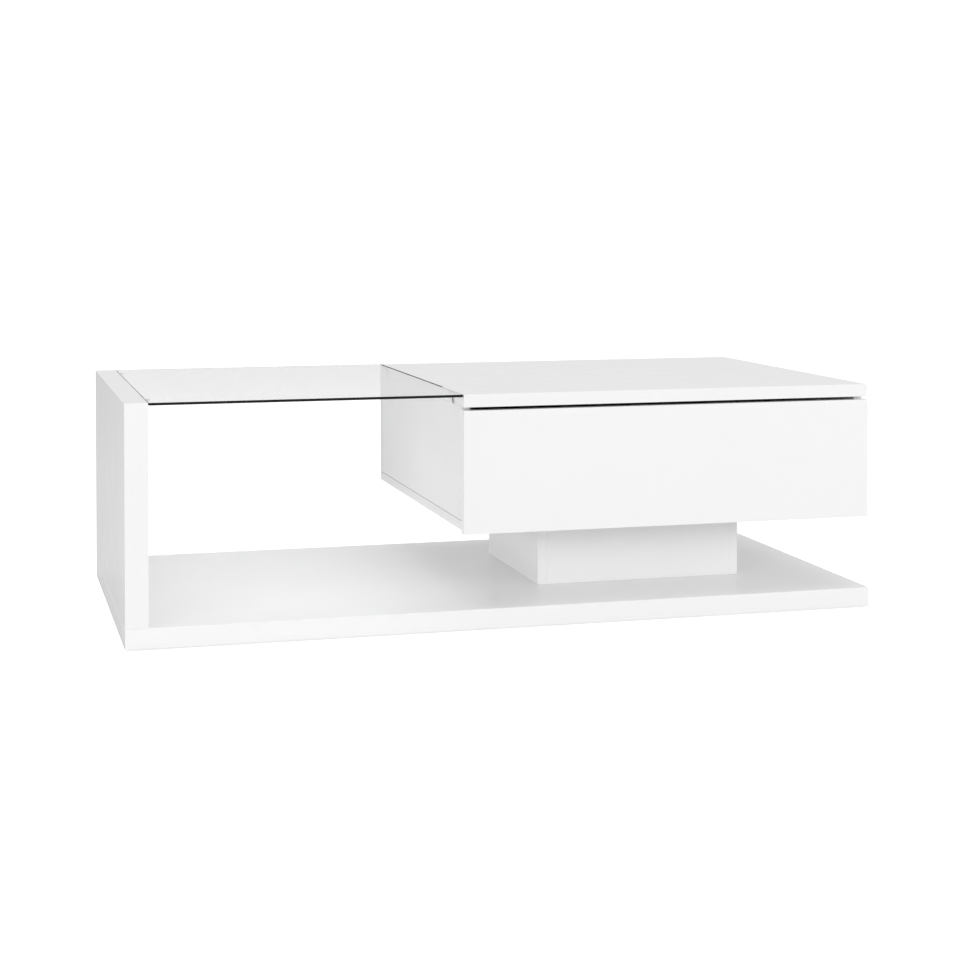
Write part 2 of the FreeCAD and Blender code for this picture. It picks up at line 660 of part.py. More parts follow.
end_heads = [(END_LINE, along, "Sizes.glide_height") for along in SCREW_ROWS]
left_heads = [(PEDESTAL_LEFT_LINE, along, "Sizes.glide_height") for along in pedestal_rows]
right_heads = [(PEDESTAL_RIGHT_LINE, along, "Sizes.glide_height") for along in pedestal_rows]
base_heads = end_heads + left_heads + right_heads
drill_for_housing_screws(
    base_board, [(end_panel, end_heads), (pedestal_left, left_heads), (pedestal_right, right_heads)],
    "base_screw", "+Z", base_heads, BASE_TOP, "Sizes.base_screw_length")
keep("base_screws", copies_of("base_screws", base_screw,
                              at_level(base_heads, "Z", "(Sizes.glide_height + Sizes.sink)"),
                              from_head(UPWARDS)))

top_left_heads = at_level(left_heads, "Z", BOX_FLOOR)
top_right_heads = at_level(right_heads, "Z", BOX_FLOOR)
drill_for_housing_screws(
    box_bottom, [(pedestal_left, top_left_heads), (pedestal_right, top_right_heads)],
    "pedestal_screw", "-Z", top_left_heads + top_right_heads, BOX_UNDERSIDE, "Sizes.confirmat_length")
keep("pedestal_screws", copies_of("pedestal_screws", board_screw,
                                  at_level(top_left_heads + top_right_heads, "Z",
                                           f"({BOX_FLOOR} - Sizes.sink)"),
                                  from_head(DOWNWARDS)))

RIGHT_SIDE_CENTRE = f"({BOX_RIGHT} - Sizes.board / 2)"
side_heads = [(SIDE_CENTRE, along, BOX_UNDERSIDE) for along in SCREW_ROWS]
far_side_heads = [(RIGHT_SIDE_CENTRE, along, BOX_UNDERSIDE) for along in SCREW_ROWS]
drill_for_housing_screws(box_bottom, [(box_side, side_heads)], "side_screw", "+Z",
                         side_heads + far_side_heads, BOX_FLOOR, "Sizes.confirmat_length")
both_sides("side_screws", copies_of("side_screw_left", board_screw,
                                    at_level(side_heads, "Z", f"({BOX_UNDERSIDE} + Sizes.sink)"),
                                    from_head(UPWARDS)))

# ---- cam locks in the sides, their bolts up into the top board and back into the back board

CAM_ROWS = [f"({CARCASS_FRONT} + Sizes.cam_inset)", f"({BACK_INNER} - Sizes.cam_inset)"]
CAM_LEVELS = spread(BOX_FLOOR, SIDE_HEIGHT, CAM_SHARES)
TOP_CAM_LEVEL = f"({TOP_UNDERSIDE} - Sizes.cam_setback)"
BACK_CAM_LINE = f"({BACK_INNER} - Sizes.cam_setback)"
CAM_DEPTH = "(Sizes.cam_height + 2 * Sizes.hole_play)"
MOUTH = "Sizes.cam_setback"

top_cams = [(INSIDE_LEFT, along, TOP_CAM_LEVEL) for along in CAM_ROWS]
back_cams = [(INSIDE_LEFT, BACK_CAM_LINE, level) for level in CAM_LEVELS]
drill(box_side, "cam_seats", "-X", top_cams + back_cams, radius_for("cam_radius"), CAM_DEPTH)

top_bolts = [(SIDE_CENTRE, along, TOP_UNDERSIDE) for along in CAM_ROWS]
back_bolts = [(SIDE_CENTRE, BACK_INNER, level) for level in CAM_LEVELS]
far_top_bolts = [(RIGHT_SIDE_CENTRE, along, TOP_UNDERSIDE) for along in CAM_ROWS]
far_back_bolts = [(RIGHT_SIDE_CENTRE, BACK_INNER, level) for level in CAM_LEVELS]
THREAD_DEPTH = "(Sizes.bolt_thread + Sizes.dowel_end_play)"
drill(box_side, "top_bolt_holes", "-Z", top_bolts, radius_for("bolt_radius"), MOUTH)
drill(box_side, "back_bolt_holes", "-Y", back_bolts, radius_for("bolt_radius"), MOUTH)
drill(top_board, "top_bolt_ends", "+Z", top_bolts + far_top_bolts, radius_for("bolt_radius"),
      THREAD_DEPTH)
drill(box_back, "back_bolt_ends", "+Y", back_bolts + far_back_bolts, radius_for("bolt_radius"),
      THREAD_DEPTH)

face_in_mouth_up = Rotation(UPWARDS, RIGHTWARDS.cross(UPWARDS), RIGHTWARDS, "ZXY")
face_in_mouth_back = Rotation(BACKWARDS, RIGHTWARDS.cross(BACKWARDS), RIGHTWARDS, "ZXY")
left_cams = together("left_cams", [
    copies_of("top_cam", cam, top_cams, face_in_mouth_up),
    copies_of("back_cam", cam, back_cams, face_in_mouth_back),
])
both_sides("cam_locks", left_cams)
left_bolts = together("left_bolts", [
    copies_of("top_bolt", bolt, at_level(top_bolts, "Z", TOP_CAM_LEVEL), Rotation()),
    copies_of("back_bolt", bolt, at_level(back_bolts, "Y", BACK_CAM_LINE), Rotation(UPWARDS, BACKWARDS)),
])
both_sides("cam_bolts", left_bolts)

# ---- dowels: sides to top board, back board to top board and to bottom board

SHALLOW_HOLE = "(Sizes.dowel_shallow + Sizes.dowel_end_play)"
DEEP_HOLE = f"({DOWEL_DEEP} + Sizes.dowel_end_play)"
DOWEL_HOLE = radius_for("dowel_radius")
side_dowel_rows = [f"({CARCASS_FRONT} + Sizes.joint_inset / 3)", MIDDLE_DEPTH]
back_dowel_columns = spread(BOX_LEFT, "Sizes.box_length", BACK_DOWEL_SHARES)
BOTTOM_CENTRE = f"({BOX_UNDERSIDE} + Sizes.board / 2)"

side_dowels = [(SIDE_CENTRE, along, TOP_UNDERSIDE) for along in side_dowel_rows]
far_side_dowels = [(RIGHT_SIDE_CENTRE, along, TOP_UNDERSIDE) for along in side_dowel_rows]
back_top_dowels = [(across, BACK_CENTRE, TOP_UNDERSIDE) for across in back_dowel_columns]
back_low_dowels = [(across, BACK_INNER, BOTTOM_CENTRE) for across in back_dowel_columns]
drill(box_side, "side_dowel_holes", "-Z", side_dowels, DOWEL_HOLE, DEEP_HOLE)
drill(box_back, "back_top_dowel_holes", "-Z", back_top_dowels, DOWEL_HOLE, DEEP_HOLE)
drill(top_board, "top_dowel_holes", "+Z", side_dowels + far_side_dowels + back_top_dowels,
      DOWEL_HOLE, SHALLOW_HOLE)
drill(box_bottom, "bottom_dowel_holes", "-Y", back_low_dowels, DOWEL_HOLE, DEEP_HOLE)
drill(box_back, "back_low_dowel_holes", "+Y", back_low_dowels, DOWEL_HOLE, SHALLOW_HOLE)

upright_start = f"({TOP_UNDERSIDE} - {DOWEL_DEEP})"
lying_start = f"({BACK_INNER} - {DOWEL_DEEP})"
keep("carcass_dowels", together("carcass_dowels", [
    copies_of("upright_dowel", wooden_dowel,
              at_level(side_dowels + far_side_dowels + back_top_dowels, "Z", upright_start), Rotation()),
    copies_of("lying_dowel", wooden_dowel, at_level(back_low_dowels, "Y", lying_start),
              Rotation(UPWARDS, BACKWARDS)),
]))

# ---- glass plate on four small angle supports with clear cushions, and its seal

GLASS_LEFT = f"({BAY_LEFT} + Sizes.glass_left_gap)"
GLASS_RIGHT = f"({BOX_LEFT} - Sizes.glass_right_gap)"
glass = board("glass_plate", (GLASS_LEFT, FRONT, GLASS_UNDERSIDE),
              (f"({GLASS_RIGHT} - {GLASS_LEFT})", "Sizes.table_depth", "Sizes.glass_thickness"), "Z")
finish_edges(glass, "PartDesign::Chamfer", "Size", "Sizes.glass_bevel")

# A black seal fills the gap beside the box and lies half in a rebate of the top board.
SEAL_LEFT = f"({GLASS_RIGHT} + Sizes.seal_play)"
SEAL_FRONT = f"({FRONT} + Sizes.seal_start)"
SEAL_BOTTOM = "(Sizes.table_height - Sizes.seal_drop - Sizes.seal_height)"
board("glass_seal", (SEAL_LEFT, SEAL_FRONT, SEAL_BOTTOM),
      ("Sizes.seal_width", f"({BACK} - Sizes.seal_end - {SEAL_FRONT})", "Sizes.seal_height"), "X")
cut_slot(top_board, "seal_rebate", "-Z",
         (BOX_LEFT, f"({SEAL_FRONT} - Sizes.seal_play)", "Sizes.table_height"),
         (f"({SEAL_LEFT} + Sizes.seal_width + Sizes.seal_play)", BACK, "Sizes.table_height"),
         f"(Sizes.table_height - {SEAL_BOTTOM})")

SUPPORT_HALF = "(Sizes.support_width / 2)"
SUPPORT_SCREW = "(-(Sizes.support_height + Sizes.support_gauge) / 2)"
support = section_piece("support", ORIGIN, [
    ("0", "0"),
    ("-Sizes.support_reach", "0"),
    ("-Sizes.support_reach", "-Sizes.support_gauge"),
    ("-Sizes.support_gauge", "-Sizes.support_gauge"),
    ("-Sizes.support_gauge", "-Sizes.support_height"),
    ("0", "-Sizes.support_height"),
], "Sizes.support_width")
drill(support, "support_screw_hole", "-X", [("0", SUPPORT_HALF, SUPPORT_SCREW)],
      radius_for("pan_shank"), "Sizes.support_gauge")
cushion = turned_piece("cushion", [
    ("0", "0"),
    ("Sizes.cushion_radius", "0"),
    ("Sizes.cushion_radius", "Sizes.cushion_height / 2"),
    (f"Sizes.cushion_radius * {PAD_TOP}", "Sizes.cushion_height"),
    ("0", "Sizes.cushion_height"),
])

support_rows = [f"({FRONT} + Sizes.support_inset)", f"({BACK} - Sizes.support_inset)"]
box_supports = [(BOX_LEFT, along, SUPPORT_TOP) for along in support_rows]
end_supports = [(BAY_LEFT, along, SUPPORT_TOP) for along in support_rows]
half_turn = Rotation(UPWARDS, 180)
keep("glass_supports", together("glass_supports", [
    copies_of("box_support", support, [(across, f"({along} - {SUPPORT_HALF})", up)
                                       for across, along, up in box_supports], Rotation()),
    copies_of("end_support", support, [(across, f"({along} + {SUPPORT_HALF})", up)
                                       for across, along, up in end_supports], half_turn),
]))

keep("glass_cushions", copies_of(
    "glass_cushion", cushion,
    at_level(box_supports, "X", f"({BOX_LEFT} - Sizes.cushion_offset)")
    + at_level(end_supports, "X", f"({BAY_LEFT} + Sizes.cushion_offset)"), Rotation()))

SUPPORT_SCREW_LEVEL = f"({SUPPORT_TOP} + {SUPPORT_SCREW})"
HEAD_STANDS = "(Sizes.support_gauge + Sizes.pan_height)"
SUPPORT_HOLE = "(Sizes.pan_length - Sizes.pan_height)"
box_screw_spots = at_level(box_supports, "Z", SUPPORT_SCREW_LEVEL)
end_screw_spots = at_level(end_supports, "Z", SUPPORT_SCREW_LEVEL)
drill(top_board, "support_holes", "+X", box_screw_spots, radius_for("pan_shank"), SUPPORT_HOLE)
drill(end_panel, "end_support_holes", "-X", end_screw_spots, radius_for("pan_shank"), SUPPORT_HOLE)
keep("glass_support_screws", together("glass_support_screws", [
    copies_of("box_support_screw", runner_screw,
              at_level(box_screw_spots, "X", f"({BOX_LEFT} - {HEAD_STANDS})"), from_head(RIGHTWARDS)),
    copies_of("end_support_screw", runner_screw,
              at_level(end_screw_spots, "X", f"({BAY_LEFT} + {HEAD_STANDS})"), from_head(LEFTWARDS)),
]))

# ---- runners: three nested channels and two ball cages at each side, drawn at the left

RUNNER_CORNER = (INSIDE_LEFT, RUNNER_FRONT, RUNNER_LEVEL)
CABINET_HALF = "(Sizes.runner_height / 2)"
OUTER_RACE_TOP = f"({CABINET_HALF} - Sizes.gauge)"
MIDDLE_HALF = f"({OUTER_RACE_TOP} - Sizes.race)"
INNER_RACE_TOP = f"({MIDDLE_HALF} - Sizes.gauge)"
DRAWER_MEMBER_HALF = f"({INNER_RACE_TOP} - Sizes.race)"


def channel(web, tip, half):
    """A channel section: web at one x, flanges to tip, each with a turned-in lip."""
    outward = 1 if measure(tip) > measure(web) else -1
    web_inside = f"({web} + {outward} * Sizes.gauge)"
    lip_inside = f"({tip} - {outward} * Sizes.gauge)"
    flange_inside = f"({half} - Sizes.gauge)"
    upper = [
        (web_inside, flange_inside),
        (lip_inside, flange_inside),
        (lip_inside, f"({flange_inside} - Sizes.lip)"),
        (tip, f"({flange_inside} - Sizes.lip)"),
        (tip, half),
        (web, half),
    ]
    lower = [(across, f"-{up}") for across, up in reversed(upper)]
    return upper + lower


cabinet_member = section_piece("runner_cabinet_member_left", RUNNER_CORNER,
                               channel("0", "Sizes.cabinet_depth", CABINET_HALF),
                               "Sizes.runner_length")
middle_member = section_piece("runner_middle_member_left", RUNNER_CORNER,
                              channel("Sizes.middle_start", "Sizes.middle_end", MIDDLE_HALF),
                              "Sizes.runner_length")
drawer_member = section_piece("runner_drawer_member_left", RUNNER_CORNER,
                              channel("Sizes.runner_thickness", "Sizes.drawer_member_start",
                                      DRAWER_MEMBER_HALF), "Sizes.runner_length")

runner_screw_rows = spread(RUNNER_FRONT, "Sizes.runner_length", RUNNER_SCREW_SHARES)
cabinet_screws = [(INSIDE_LEFT, along, RUNNER_LEVEL) for along in runner_screw_rows]
drawer_screws = at_level(cabinet_screws, "X", DRAWER_LEFT)
WEB_AND_HEAD = "(Sizes.gauge + Sizes.pan_height)"
SCREW_IN_BOARD = f"(Sizes.pan_length - {WEB_AND_HEAD} + Sizes.hole_play)"
drill(cabinet_member, "cabinet_member_holes", "+X", cabinet_screws, radius_for("pan_shank"),
      "Sizes.gauge")
drill(box_side, "runner_holes", "-X", cabinet_screws, radius_for("pan_shank"), SCREW_IN_BOARD)
drill(drawer_member, "drawer_member_holes", "-X", drawer_screws, radius_for("pan_shank"),
      "Sizes.gauge")
both_sides("runner_cabinet_screws", copies_of(
    "cabinet_screw", runner_screw,
    at_level(cabinet_screws, "X", f"({INSIDE_LEFT} + {WEB_AND_HEAD})"), from_head(LEFTWARDS)))
both_sides("runner_drawer_screws", copies_of(
    "drawer_side_screw", runner_screw,
    at_level(drawer_screws, "X", f"({DRAWER_LEFT} - {WEB_AND_HEAD})"), from_head(RIGHTWARDS)))

# The release lever turns on a stud of the drawer member.
LEVER_BACK = f"({DRAWER_LEFT} - Sizes.gauge - Sizes.lever_play)"
LEVER_FACE = f"({LEVER_BACK} - Sizes.lever_thickness)"
LEVER_PIVOT = f"({RUNNER_FRONT} + Sizes.lever_offset)"
LEVER_CORNER = (LEVER_FACE, f"({LEVER_PIVOT} - Sizes.lever_length / 2)",
                f"({RUNNER_LEVEL} - Sizes.lever_height / 2)")
stud_sketch = new_sketch(drawer_member, "stud_circle", "X", f"({DRAWER_LEFT} - Sizes.gauge)")
stud_centre = in_plane(drawer_member, "X", (DRAWER_LEFT, LEVER_PIVOT, RUNNER_LEVEL))
draw_circle(stud_sketch, 0, stud_centre, "Sizes.pivot_radius")
stud = drawer_member.newObject("PartDesign::Pad", "stud")
stud.Profile = stud_sketch
stud.setExpression("Length", "Sizes.lever_thickness + 2 * Sizes.lever_play")
stud.Reversed = True

lever = new_body("release_lever_left", LEVER_CORNER)
lever_sketch = new_sketch(lever, "lever_outline", "X", LEVER_FACE)
draw_outline(lever_sketch, [(f"Sizes.lever_length * {along}", f"Sizes.lever_height * {up}")
                            for along, up in LEVER_OUTLINE])
add_pad(lever, "lever_pad", lever_sketch, "X", "Sizes.lever_thickness")
drill(lever, "lever_bore", "+X", [(LEVER_FACE, LEVER_PIVOT, RUNNER_LEVEL)],
      "(Sizes.pivot_radius + Sizes.ball_play)", "Sizes.lever_thickness")

for name, piece in (("runner_cabinet_member", cabinet_member), ("runner_middle_member", middle_member),
                    ("runner_drawer_member", drawer_member), ("release_lever", lever)):
    keep_pair(name, piece)

ball = doc.addObject("Part::Sphere", "ball")
ball.setExpression("Radius", "Sizes.race / 2 - Sizes.ball_play")
CAGE_FRONT = f"({RUNNER_FRONT} + (Sizes.runner_length - Sizes.cage_length) / 2)"


def ball_cage(name, web, ball_line, race_top):
    """A cage of two pierced strips joined by a web, with one row of balls in each strip."""
    row_level = f"({race_top} - Sizes.race / 2)"
    strip_top = f"({row_level} + Sizes.cage_strip / 2)"
    strip_low = f"({row_level} - Sizes.cage_strip / 2)"
    strip_end = f"({ball_line} + Sizes.cage_rim)"
    upper = [
        (f"({web} + Sizes.cage_gauge)", strip_low),
        (strip_end, strip_low),
        (strip_end, strip_top),
        (web, strip_top),
    ]
    lower = [(across, f"-{up}") for across, up in reversed(upper)]
    cage = section_piece(f"{name}_ball_cage_left", (INSIDE_LEFT, CAGE_FRONT, RUNNER_LEVEL),
                         upper + lower, "Sizes.cage_length")
    line = f"({INSIDE_LEFT} + {ball_line})"
    step = f"(Sizes.cage_length / {CAGE_BALLS})"
    rows = [f"({CAGE_FRONT} + {step} * {number + 0.5})" for number in range(CAGE_BALLS)]
    start = f"({RUNNER_LEVEL} - {strip_top})"
    drill(cage, f"{name}_ball_seats", "+Z", [(line, along, start) for along in rows],
          "(Sizes.race / 2)", f"(2 * {strip_top})")
    spots = [(line, along, f"({RUNNER_LEVEL} {sign} {row_level})") for sign in "+-" for along in rows]
    keep_pair(f"{name}_ball_cage", cage)
    keep_pair(f"{name}_balls", copies_of(f"{name}_ball", ball, spots, Rotation()))


ball_cage("outer", "(Sizes.middle_start - Sizes.cage_play - Sizes.cage_gauge)",
          "Sizes.outer_ball_line", OUTER_RACE_TOP)
ball_cage("inner", "(Sizes.middle_start + Sizes.gauge + Sizes.cage_play)",
          "Sizes.inner_ball_line", INNER_RACE_TOP)

# ---- drawer: an open box of thin boards with the front screwed on from inside

FRONT_BOTTOM = f"({BOX_UNDERSIDE} - Sizes.front_lip)"
FRONT_TOP = f"({TOP_UNDERSIDE} - Sizes.front_gap)"
drawer_front = lacquered_board("drawer_front", (BOX_LEFT, FRONT, FRONT_BOTTOM),
                               ("(Sizes.box_length + Sizes.front_overhang)", "Sizes.front_thickness",
                                f"({FRONT_TOP} - {FRONT_BOTTOM})"), "Y")
drawer_side = board("drawer_side_left", (DRAWER_LEFT, FRONT_INNER, DRAWER_UNDERSIDE),
                    ("Sizes.drawer_board", "Sizes.drawer_length", "Sizes.drawer_height"), "X")
drawer_box_front = board("drawer_box_front", (DRAWER_INNER_LEFT, FRONT_INNER, DRAWER_UNDERSIDE),
                         (DRAWER_INNER_LENGTH, "Sizes.drawer_board", "Sizes.drawer_height"), "Y")
DRAWER_BACK_LINE = f"({DRAWER_END} - Sizes.drawer_board)"
BACK_LOW = f"({BOTTOM_TOP} + Sizes.groove_play)"
drawer_back = board("drawer_back", (DRAWER_INNER_LEFT, DRAWER_BACK_LINE, BACK_LOW),
                    (DRAWER_INNER_LENGTH, "Sizes.drawer_board",
                     f"({DRAWER_UNDERSIDE} + Sizes.drawer_height - {BACK_LOW})"), "Y")

GROOVE_LOW = f"({BOTTOM_LEVEL} - Sizes.groove_play)"
GROOVE_HIGH = f"({BOTTOM_TOP} + Sizes.groove_play)"
BOX_FRONT_BACK = f"({FRONT_INNER} + Sizes.drawer_board)"
GROOVE_START = f"({BOX_FRONT_BACK} - Sizes.groove_depth)"
cut_slot(drawer_side, "side_groove", "-X", (DRAWER_INNER_LEFT, GROOVE_START, GROOVE_LOW),
         (DRAWER_INNER_LEFT, DRAWER_END, GROOVE_HIGH), "Sizes.groove_depth")
INNER_RIGHT = f"({DRAWER_INNER_LEFT} + {DRAWER_INNER_LENGTH})"
cut_slot(drawer_box_front, "front_groove", "-Y", (DRAWER_INNER_LEFT, BOX_FRONT_BACK, GROOVE_LOW),
         (INNER_RIGHT, BOX_FRONT_BACK, GROOVE_HIGH), "Sizes.groove_depth")
board("drawer_bottom",
      (f"({DRAWER_INNER_LEFT} - Sizes.groove_depth + Sizes.groove_play)",
       f"({GROOVE_START} + Sizes.groove_play)", BOTTOM_LEVEL),
      (f"({DRAWER_INNER_LENGTH} + 2 * (Sizes.groove_depth - Sizes.groove_play))",
       f"({DRAWER_END} - {GROOVE_START} - Sizes.groove_play)", "Sizes.bottom_thickness"), "Z")

# Wood screws through the drawer sides, clear of the runners, into the ends of front and back.
box_front_line = f"({FRONT_INNER} + Sizes.drawer_board / 2)"
back_board_line = f"({DRAWER_END} - Sizes.drawer_board / 2)"
side_screw_levels = spread(DRAWER_UNDERSIDE, "Sizes.drawer_height", DRAWER_SCREW_SHARES)
side_screws = [(DRAWER_LEFT, along, level) for along in (box_front_line, back_board_line)
               for level in side_screw_levels]
END_HOLE = "(Sizes.wood_length + Sizes.sink - Sizes.drawer_board + Sizes.hole_play)"
drill(drawer_side, "drawer_screw_seats", "+X", side_screws, radius_for("wood_head"),
      "(Sizes.sink + Sizes.wood_taper)")
drill(drawer_side, "drawer_screw_holes", "+X", side_screws, radius_for("wood_shank"),
      "Sizes.drawer_board")
for end_board, name, spots in ((drawer_box_front, "front_end", side_screws[:2]),
                               (drawer_back, "back_end", side_screws[2:])):
    drill(end_board, f"{name}_left_holes", "+X", at_level(spots, "X", DRAWER_INNER_LEFT),
          radius_for("wood_shank"), END_HOLE)
    drill(end_board, f"{name}_right_holes", "-X", at_level(spots, "X", INNER_RIGHT),
          radius_for("wood_shank"), END_HOLE)
drill(drawer_side, "runner_screw_holes", "+X", drawer_screws, radius_for("pan_shank"), SCREW_IN_BOARD)
keep("drawer_side_right", mirror("drawer_side_right", drawer_side))
keep("box_side_right", mirror("box_side_right", box_side))
both_sides("drawer_box_screws", copies_of(
    "drawer_box_screw", drawer_screw, at_level(side_screws, "X", f"({DRAWER_LEFT} + Sizes.sink)"),
    from_head(RIGHTWARDS)))

# Screws from inside the drawer into its front.
front_screw_columns = spread(DRAWER_INNER_LEFT, DRAWER_INNER_LENGTH, FRONT_SCREW_COLUMN_SHARES)
front_screw_levels = spread(DRAWER_UNDERSIDE, "Sizes.drawer_height", FRONT_SCREW_LEVEL_SHARES)
front_screws = [(across, BOX_FRONT_BACK, level) for across in front_screw_columns
                for level in front_screw_levels]
drill(drawer_box_front, "front_screw_holes", "-Y", front_screws, radius_for("pan_shank"),
      "Sizes.drawer_board")
drill(drawer_front, "front_screw_ends", "-Y", at_level(front_screws, "Y", FRONT_INNER),
      radius_for("pan_shank"),
      "(Sizes.front_screw_length - Sizes.pan_height - Sizes.drawer_board + Sizes.hole_play)")
keep("drawer_front_screws", copies_of(
    "drawer_front_screw", long_pan_screw,
    at_level(front_screws, "Y", f"({BOX_FRONT_BACK} + Sizes.pan_height)"), from_head(FORWARDS)))

# Soft stops on the back of the drawer front, opposite the front edges of the box sides.
stop = turned_piece("stop", [
    ("0", "0"),
    ("Sizes.stop_radius", "0"),
    ("Sizes.stop_radius", "Sizes.stop_thickness / 2"),
    (f"Sizes.stop_radius * {PAD_TOP}", "Sizes.stop_thickness"),
    ("0", "Sizes.stop_thickness"),
])
stop_levels = spread(BOX_FLOOR, SIDE_HEIGHT, STOP_SHARES)
both_sides("drawer_stops", copies_of(
    "drawer_stop", stop, [(SIDE_CENTRE, FRONT_INNER, level) for level in stop_levels],
    Rotation(UPWARDS, BACKWARDS)))


def check_document():
    """Stop unless every object is sound, every cut removes material and every part is solid."""
    doc.recompute()
    for item in doc.Objects:
        if "Invalid" in item.State or "Error" in item.State:
            raise RuntimeError(f"{item.Label} failed: {item.State}")
    for pocket in cuts:
        if pocket.BaseFeature.Shape.Volume - pocket.Shape.Volume < LEAST_CUT:
            raise RuntimeError(f"{pocket.Label} cuts nothing")
    for item in nodes:
        if item.Shape.isNull() or not item.Shape.isValid() or not item.Shape.Solids:
            raise RuntimeError(f"{item.Label} has no valid solid")


check_document()
os.makedirs("parts", exist_ok=True)
for node in nodes:
    node.Shape.exportStep(f"parts/{node.Label}.step")
print(f"{len(nodes)} parts written")
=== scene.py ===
"""Looks of a white coffee table with a glass plate and one wide drawer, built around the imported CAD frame."""

import json
import math

import bpy
from mathutils import Euler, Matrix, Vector


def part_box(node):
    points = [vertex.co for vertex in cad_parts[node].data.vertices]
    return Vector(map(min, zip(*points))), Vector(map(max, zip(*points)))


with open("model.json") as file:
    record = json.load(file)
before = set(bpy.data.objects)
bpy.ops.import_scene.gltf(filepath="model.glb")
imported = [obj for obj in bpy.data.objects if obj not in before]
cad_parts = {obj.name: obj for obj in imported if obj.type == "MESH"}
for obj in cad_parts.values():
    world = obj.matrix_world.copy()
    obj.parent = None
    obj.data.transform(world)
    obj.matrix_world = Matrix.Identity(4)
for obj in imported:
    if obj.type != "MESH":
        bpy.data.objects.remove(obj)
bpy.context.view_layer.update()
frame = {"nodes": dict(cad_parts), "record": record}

MM = 0.001
nodes = frame["nodes"]
slot_of = {part["node"]: part["material_slot"] for part in frame["record"]["subparts"]}


# ---- small helpers for node trees


class Tree:
    """A material's node tree with short calls for the nodes that the materials here are made of."""

    def __init__(self, name):
        self.material = bpy.data.materials.new(name)
        self.material.use_nodes = True
        self.tree = self.material.node_tree
        self.tree.nodes.clear()
        self.output = self.tree.nodes.new("ShaderNodeOutputMaterial")
        self.coordinates = self.tree.nodes.new("ShaderNodeTexCoord").outputs["Object"]
        self.normal = self.tree.nodes.new("ShaderNodeNewGeometry").outputs["Normal"]

    def node(self, kind, values=(), **settings):
        """A node with settings, its inputs set or linked by name or number."""
        made = self.tree.nodes.new(kind)
        for key, value in settings.items():
            setattr(made, key, value)
        for key, value in dict(values).items():
            if isinstance(value, bpy.types.NodeSocket):
                self.tree.links.new(value, made.inputs[key])
            else:
                made.inputs[key].default_value = value
        return made

    def math(self, operation, a, b=0.0):
        return self.node("ShaderNodeMath", {0: a, 1: b}, operation=operation).outputs[0]

    def scaled(self, vector, amounts):
        """Coordinates stretched by a factor on each axis."""
        return self.node("ShaderNodeVectorMath", {0: vector, 1: amounts}, operation="MULTIPLY").outputs[0]

    def noise(self, scale, detail=2.0, roughness=0.5, vector=None):
        """Noise from 0 to 1, scale in cells per metre."""
        made = self.node(
            "ShaderNodeTexNoise",
            {"Vector": vector or self.coordinates, "Scale": scale, "Detail": detail, "Roughness": roughness},
        )
        return made.outputs["Fac"]

    def cells(self, scale, vector=None, output="Distance"):
        """Cells around scattered points, scale in cells per metre."""
        made = self.node("ShaderNodeTexVoronoi", {"Vector": vector or self.coordinates, "Scale": scale})
        return made.outputs[output]

    def fit(self, value, low, high, to_low=0.0, to_high=1.0, smooth=True):
        """A value mapped from one range to another and held inside it."""
        made = self.node(
            "ShaderNodeMapRange",
            {"Value": value, "From Min": low, "From Max": high, "To Min": to_low, "To Max": to_high},
            interpolation_type="SMOOTHSTEP" if smooth else "LINEAR",
        )
        return made.outputs["Result"]

    def blend(self, amount, first, second, kind="MIX"):
        """Two colours mixed by an amount."""
        made = self.node("ShaderNodeMix", data_type="RGBA", blend_type=kind)
        for socket, value in ((made.inputs[0], amount), (made.inputs[6], first), (made.inputs[7], second)):
            if isinstance(value, bpy.types.NodeSocket):
                self.tree.links.new(value, socket)
            else:
                socket.default_value = value
        return made.outputs[2]

    def bump(self, height, strength, distance, before=None):
        """A bump from a height, with distance in metres."""
        values = {"Height": height, "Strength": strength, "Distance": distance}
        if before is not None:
            values["Normal"] = before
        return self.node("ShaderNodeBump", values).outputs["Normal"]

    def axis(self, vector, name):
        return self.node("ShaderNodeSeparateXYZ", {0: vector}).outputs[name]

    def facing(self, name):
        """How squarely the surface faces along one axis of the table, from 0 to 1, either way."""
        return self.math("ABSOLUTE", self.axis(self.normal, name))

    def finish(self, shader):
        self.tree.links.new(shader, self.output.inputs["Surface"])
        return self.material


def grey(level, tint=(1.0, 1.0, 1.0)):
    return (level * tint[0], level * tint[1], level * tint[2], 1.0)


def edge_closeness(tree, low, high, width):
    """1 on the arrises of a box between two corners, fading to 0 at width from them along its faces."""
    gaps = []
    for name, start, end in zip("XYZ", low, high):
        place = tree.axis(tree.coordinates, name)
        from_start = tree.math("SUBTRACT", place, start)
        from_end = tree.math("SUBTRACT", end, place)
        gaps.append(tree.math("MAXIMUM", tree.math("MINIMUM", from_start, from_end), 0.0))
    lower = tree.math("MINIMUM", gaps[0], gaps[1])
    upper = tree.math("MAXIMUM", gaps[0], gaps[1])
    middle = tree.math("MAXIMUM", lower, tree.math("MINIMUM", upper, gaps[2]))
    return tree.fit(middle, 0.0, width, 1.0, 0.0)


# ---- materials


# Joints between boards that show outside, as the axis across the joint and its place along that axis; each gets
# a dark line of painted shade.
FLOOR_JOINT = ("Z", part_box("box_bottom")[1].z)
BACK_JOINT = ("Y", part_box("box_back")[0].y)
JOINTS = {
    "box_bottom": [FLOOR_JOINT],
    "box_back": [BACK_JOINT],
    "box_side_left": [FLOOR_JOINT, BACK_JOINT],
    "box_side_right": [FLOOR_JOINT, BACK_JOINT],
}

# The base and the pedestal stand in the shade of the box, and are set whiter only to come out lighter there.
BOARD_WHITE = 0.877
BASE_WHITE = 0.9
PEDESTAL_WHITE = 0.925
WHITENESS = {f"pedestal_{side}": PEDESTAL_WHITE for side in ("left", "right", "front", "back")}
WHITENESS["base_board"] = BASE_WHITE


